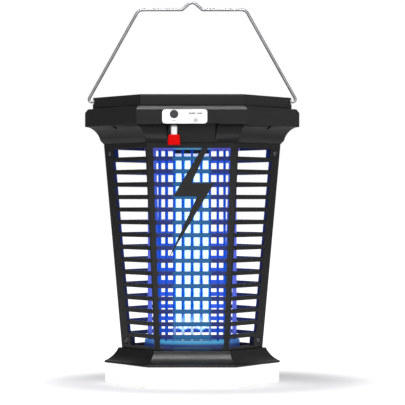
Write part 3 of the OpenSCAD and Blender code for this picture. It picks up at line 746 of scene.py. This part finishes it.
def bail():
    """The wire: a foot in each bush, two slanting legs, and a bar with the hanging loop."""
    low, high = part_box("bail_handle")
    wire_r = (high.y - low.y) / 2
    pin_low, pin_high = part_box("bail_bushes")
    pivot_z = (pin_low.z + pin_high.z) / 2
    foot_x = 104.9 * MM
    bar_x = 53.4 * MM
    bar_z = 372.5 * MM
    half = [
        (84.3 * MM, pivot_z, 0),
        (foot_x, pivot_z, 2.6 * MM),
        (bar_x, bar_z, 7 * MM),
        (10 * MM, bar_z, 3 * MM),
    ]
    loop_top = (0, bar_z + 9 * MM, 5.8 * MM)
    corners = half + [loop_top] + [(-x, z, r) for x, z, r in reversed(half)]
    bm = bmesh.new()
    sweep(bm, arc_path(corners), wire_r, 24, dome=0.2)
    add_piece("bail_wire", smooth_by_angle(mesh_from(bm, "bail_wire"), 60), "bail_handle")


def rods(node, name):
    """Round rods with domed tips where the CAD node has its own."""
    bm = bmesh.new()
    for points in islands(node):
        low, high = points.min(0), points.max(0)
        x, y = ((low + high) / 2)[:2].tolist()
        radius = float(high[0] - low[0]) / 2
        tip = 0.5 * MM
        path = [(x, y, float(low[2]) + tip), (x, y, float(high[2]) - tip)]
        sweep(bm, path, radius, 16, dome=tip / radius)
    add_piece(name, smooth_by_angle(mesh_from(bm, name), 50), node)


def cells():
    """Battery cells with crimped shoulders and a raised terminal."""
    bm = bmesh.new()
    for points in islands("battery_cells"):
        low, high = points.min(0).tolist(), points.max(0).tolist()
        radius = (high[1] - low[1]) / (2 * MM)
        length = (high[0] - low[0]) / MM
        can = length - 1.1
        base = [(0, 0), (radius - 1.2, 0), (radius - 0.5, 0.15), (radius, 0.8)]
        groove = [(radius, can - 2.6), (radius - 0.5, can - 2.2), (radius - 0.5, can - 1.7)]
        shoulder = [(radius, can - 1.3), (radius - 0.1, can - 0.4), (radius - 0.6, can)]
        lip = [(radius - 1.6, can), (radius - 1.8, can - 0.4), (3.6, can - 0.4)]
        terminal = [(3.2, length - 0.3), (2.9, length), (0, length)]
        profile = base + groove + shoulder + lip + terminal
        foot = Vector((low[0], (low[1] + high[1]) / 2, (low[2] + high[2]) / 2))
        at = Matrix.Translation(foot) @ Matrix.Rotation(math.pi / 2, 4, "Y")
        lathe(bm, [(r * MM, h * MM) for r, h in profile], 48, at)
    add_piece("cells", smooth_by_angle(mesh_from(bm, "cells"), 40), "battery_cells")


GLASS_WALL = 1.15 * MM
# A collar round a leg of the lamp, in millimetres: radius, and height over the base's foot
COLLAR = [(0, -2.4), (4.0, -2.4), (4.35, -2.0), (4.35, -0.5), (4.9, 0.0), (4.9, 0.6), (0, 0.6)]


def lamp():
    """Each U of glass tube, its lit coating, and a collar where each leg enters the base."""
    bm = bmesh.new()
    coating = bmesh.new()
    collars = bmesh.new()
    base_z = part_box("lamp_base")[0].z
    for points in islands("uv_tubes"):
        low, high = points.min(0).tolist(), points.max(0).tolist()
        tube_r = (high[1] - low[1]) / 2
        mid_x = (low[0] + high[0]) / 2
        bend_r = (high[0] - low[0]) / 2 - tube_r
        bend_z = low[2] + tube_r + bend_r
        end_z = high[2] - 1 * MM
        path = [(mid_x + bend_r, 0, end_z)]
        for i in range(25):
            t = -math.pi * i / 24
            path.append((mid_x + bend_r * math.cos(t), 0, bend_z + bend_r * math.sin(t)))
        path.append((mid_x - bend_r, 0, end_z))
        sweep(bm, path, tube_r, 28, dome=0.2)
        sweep(coating, path, tube_r - GLASS_WALL, 20, dome=0.2)
        for leg in (-bend_r, bend_r):
            at = Matrix.Translation((mid_x + leg, 0, base_z))
            lathe(collars, [(r * MM, z * MM) for r, z in COLLAR], 32, at)
    add_piece("lamp_tubes", smooth_by_angle(mesh_from(bm, "lamp_tubes"), 60), "uv_tubes")
    mesh = smooth_by_angle(mesh_from(coating, "lamp_coating"), 60)
    add_piece("lamp_coating", mesh, "uv_tubes", PHOSPHOR)
    mesh = smooth_by_angle(mesh_from(collars, "lamp_collars"))
    add_piece("lamp_collars", mesh, "uv_tubes", CERAMIC)


bail()
rods("live_grid_rods", "live_rods")
rods("ground_grid_rods", "earthed_rods")
lamp()
cells()

# ---------------------------------------------------------------- screws

HEAD_R = 2.9 * MM
HEAD_T = 1.7 * MM
SHANK_R = 1.45 * MM
THREAD_PITCH = 0.9 * MM
WIDER_THAN_SHANK = 2.5 * MM


def pan_head():
    """A domed screw head with a cross recess, its seat at z = 0."""
    bm = bmesh.new()
    turns = [math.radians(a) for a in range(0, 90, 15)]
    dome = [(HEAD_R * math.cos(t), HEAD_T * (0.35 + 0.65 * math.sin(t))) for t in turns]
    lathe(bm, [(0, 0), (HEAD_R, 0)] + dome + [(0, HEAD_T)], 32)
    head = bpy.data.objects.new("head", mesh_from(bm, "head"))
    cutter_mesh = bmesh.new()
    for turn in (0, 90):
        lift = Matrix.Translation((0, 0, HEAD_T * 1.05))
        at = Matrix.Rotation(math.radians(turn), 4, "Z") @ lift
        size = Matrix.Diagonal((3.5 * MM, 0.62 * MM, HEAD_T * 1.3, 1))
        made = bmesh.ops.create_cube(cutter_mesh, size=1.0, matrix=at @ size)
        taper = (0.5, 0.95) if turn == 0 else (0.95, 0.5)
        for vert in made["verts"]:
            if vert.co.z < HEAD_T:
                vert.co.x *= taper[0]
                vert.co.y *= taper[1]
    cutter = bpy.data.objects.new("cutter", mesh_from(cutter_mesh, "cutter"))
    for helper in (head, cutter):
        bpy.context.collection.objects.link(helper)
    cut = head.modifiers.new("recess", "BOOLEAN")
    cut.object = cutter
    cut.solver = "EXACT"
    cut.use_self = True
    bpy.context.view_layer.update()
    cut_head = head.evaluated_get(bpy.context.evaluated_depsgraph_get())
    done = bpy.data.meshes.new_from_object(cut_head)
    for helper in (head, cutter):
        bpy.data.objects.remove(helper)
    return done


def screw_place(points):
    """Seat, outward axis and shank length of the screw that these vertices make.

    A screw's own axis is the direction whose spread stands apart from the other two, and its head
    is the wider end. The seat is the first place along the axis with a vertex farther out than
    any shank.
    """
    centre = points.mean(0)
    values, vectors = np.linalg.eigh(np.cov((points - centre).T))
    lone = 0 if values[2] - values[1] < values[1] - values[0] else 2
    axis = vectors[:, lone]
    along = (points - centre) @ axis
    spread = np.linalg.norm(points - centre - np.outer(along, axis), axis=1)
    middle = (along.max() + along.min()) / 2
    if spread[along < middle].max() > spread[along > middle].max():
        axis, along = -axis, -along
    seat = along[spread > WIDER_THAN_SHANK].min()
    place = Vector((centre + axis * seat).tolist())
    return place, Vector(axis.tolist()), float(seat - along.min())


def screws(node, head):
    """A head and a threaded shank in the place of each screw of the CAD node."""
    bm = bmesh.new()
    root = SHANK_R * 0.8
    for points in islands(node):
        seat, axis, length = screw_place(points)
        at = Matrix.Translation(seat) @ axis.to_track_quat("Z", "Y").to_matrix().to_4x4()
        copy = head.copy()
        copy.transform(at)
        bm.from_mesh(copy)
        bpy.data.meshes.remove(copy)
        ridges = max(1, int((length - 0.3 * MM) / THREAD_PITCH))
        profile = [(0, 0.0), (root, 0.0)]
        for i in range(ridges):
            z = -(i + 0.5) * THREAD_PITCH
            profile += [(SHANK_R, z), (root, z - 0.3 * THREAD_PITCH)]
        profile.append((0, -length))
        lathe(bm, profile, 12, at)
    name = node.replace("screws", "") + "pan_screws"
    add_piece(name, smooth_by_angle(mesh_from(bm, name), 30), node)


cross_head = pan_head()
for place in ("cover", "floor", "board", "insulator", "grille"):
    screws(place + "_screws", cross_head)

# ---------------------------------------------------------------- marks on the control plate


# Rows of strokes in millimetres: first x, height, step, how many, a stroke's width and height
MARK_ROWS = (
    (-2.2, 265.6, 1.3, 5, 0.95, 1.8),
    (5.7, 265.6, 1.3, 4, 0.95, 1.7),
    (-18.6, 258.4, 1.0, 4, 0.6, 1.1),
)
MARK_PROUD = 0.06 * MM
MARK_DEEP = 0.4 * MM


def marks():
    """Two rows of plain strokes and a short one under the button, in place of a legend."""
    plate_low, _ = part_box("control_plate")
    middle_y = plate_low.y - MARK_PROUD + MARK_DEEP / 2
    bm = bmesh.new()
    for first, z, step, count, width, height in MARK_ROWS:
        for i in range(count):
            at = Matrix.Translation(((first + step * i) * MM, middle_y, z * MM))
            size = Matrix.Diagonal((width * MM, MARK_DEEP, height * MM, 1))
            bmesh.ops.create_cube(bm, size=1.0, matrix=at @ size)
    bmesh.ops.bevel(
        bm, geom=bm.edges[:], offset=0.06 * MM, segments=2, affect="EDGES", profile=0.5
    )
    mesh = smooth_by_angle(mesh_from(bm, "plate_marks"))
    add_piece("plate_marks", mesh, "control_plate", GREY_INK, replaced=False)


marks()

for name, node in frame["nodes"].items():
    node.data.materials.clear()
    node.data.materials.append(MATERIALS[SLOT_OF[name]].mat)

# ---------------------------------------------------------------- stage, light and camera

CAMERA_PLACE = (0.0103, -2.45, 0.1798)
camera_data = bpy.data.cameras.new("camera")
camera_data.sensor_width = 36.0
camera_data.lens = 217.8
camera_data.clip_end = 60.0
camera = bpy.data.objects.new("camera", camera_data)
camera.location = CAMERA_PLACE
camera.rotation_euler = (math.radians(90), 0, 0)
bpy.context.collection.objects.link(camera)
bpy.context.scene.camera = camera
bpy.context.scene.view_settings.view_transform = "Standard"


FLOOR_HALF = 15.0
# The floor's painted shadow pool round the object: its centre, set off to the right, its reach and
# its level
SHADE_CENTRE = (0.014, 0, 0)
SHADE_REACH = (0.115, 0.25)   # distances where the floor starts to whiten and is white
SHADE_LEVEL = 0.30


def floor():
    """A pale sheet just under the object's foot that runs out to white away from the object; its
    lower glow near the object is a painted shadow pool.
    """
    mesh = bpy.data.meshes.new("floor")
    under = -0.2 * MM
    quarters = ((-1, -1), (1, -1), (1, 1), (-1, 1))
    corners = [(side * FLOOR_HALF, depth * FLOOR_HALF, under) for side, depth in quarters]
    mesh.from_pydata(corners, [], [(0, 1, 2, 3)])
    made = bpy.data.objects.new("floor", mesh)
    bpy.context.collection.objects.link(made)
    surface = Material("floor_paper", (0.50, 0.50, 0.515), 0.9, Specular_IOR_Level=0.0)
    surface.vary_color(0.01, 300.0)
    distance = surface.vector_math("DISTANCE", surface.place, SHADE_CENTRE).outputs["Value"]
    seen = surface.node("ShaderNodeLightPath").outputs["Is Camera Ray"]
    # Lower glow near the object: painted shadow
    away = surface.remap(distance, *SHADE_REACH, SHADE_LEVEL, 1.0, smooth=True)
    surface.glow((1.0, 1.0, 1.0), surface.product(away, seen))
    mesh.materials.append(surface.mat)


def area_light(name, place, target, size, power):
    data = bpy.data.lights.new(name, "AREA")
    data.shape = "RECTANGLE"
    data.size, data.size_y = size
    data.energy = power
    made = bpy.data.objects.new(name, data)
    made.location = place
    made.rotation_euler = (Vector(target) - Vector(place)).to_track_quat("-Z", "Y").to_euler()
    bpy.context.collection.objects.link(made)


# Brightness of the room's walls along each axis of a direction: place from -1 to 1, and level
WALLS = {
    "X": [(-1, 0.86), (-0.6, 0.50), (-0.2, 1.0), (0.2, 1.0), (0.6, 1.5), (1, 1.6)],
    "Y": [(-1, 0.95), (-0.3, 0.75), (0.3, 0.26), (0.7, 0.24), (0.97, 0.85)],
    "Z": [(-0.3, 1.0), (0.12, 1.0), (0.32, 0.45), (0.8, 0.30), (1.0, 0.5)],
}


def studio():
    """White where the camera sees it, and walls that light the object by their brightness."""
    world = bpy.data.worlds.new("studio")
    bpy.context.scene.world = world
    world.use_nodes = True
    tree = world.node_tree
    nodes, links = tree.nodes, tree.links
    walls = nodes["Background"]
    way = nodes.new("ShaderNodeTexCoord").outputs["Generated"]
    split = nodes.new("ShaderNodeSeparateXYZ")
    links.new(way, split.inputs[0])

    def ramp(axis):
        stops = WALLS[axis]
        spread = nodes.new("ShaderNodeMapRange")
        spread.inputs["From Min"].default_value = -1
        spread.inputs["From Max"].default_value = 1
        links.new(split.outputs[axis], spread.inputs["Value"])
        made = nodes.new("ShaderNodeValToRGB")
        made.color_ramp.interpolation = "EASE"
        elements = made.color_ramp.elements
        while len(elements) < len(stops):
            elements.new(0.5)
        for element, (place, level) in zip(elements, stops):
            element.position = (place + 1) / 2
            element.color = (level, level, level, 1)
        links.new(spread.outputs["Result"], made.inputs["Fac"])
        return made.outputs["Color"]

    def times(a, b):
        made = nodes.new("ShaderNodeMix")
        made.data_type = "RGBA"
        made.blend_type = "MULTIPLY"
        made.inputs[0].default_value = 1.0
        links.new(a, made.inputs[6])
        links.new(b, made.inputs[7])
        return made.outputs[2]

    links.new(times(times(ramp("Y"), ramp("Z")), ramp("X")), walls.inputs["Color"])
    walls.inputs["Strength"].default_value = 1.0
    white = nodes.new("ShaderNodeBackground")
    white.inputs["Color"].default_value = (1, 1, 1, 1)
    seen = nodes.new("ShaderNodeLightPath").outputs["Is Camera Ray"]
    either = nodes.new("ShaderNodeMixShader")
    links.new(seen, either.inputs[0])
    links.new(walls.outputs[0], either.inputs[1])
    links.new(white.outputs[0], either.inputs[2])
    links.new(either.outputs[0], nodes["World Output"].inputs["Surface"])


floor()
studio()
area_light("softbox_top", (-0.12, -0.66, 1.6), (0, -0.1, 0.05), (1.4, 0.24), 25.0)
area_light("softbox_front", (0, -3.2, 1.7), (0, 0, 0.15), (2.4, 1.2), 20.0)
area_light("card_low", (0.02, -0.58, 0.004), (0.02, -0.58, 1), (0.9, 0.5), 2.0)

bpy.context.view_layer.update()
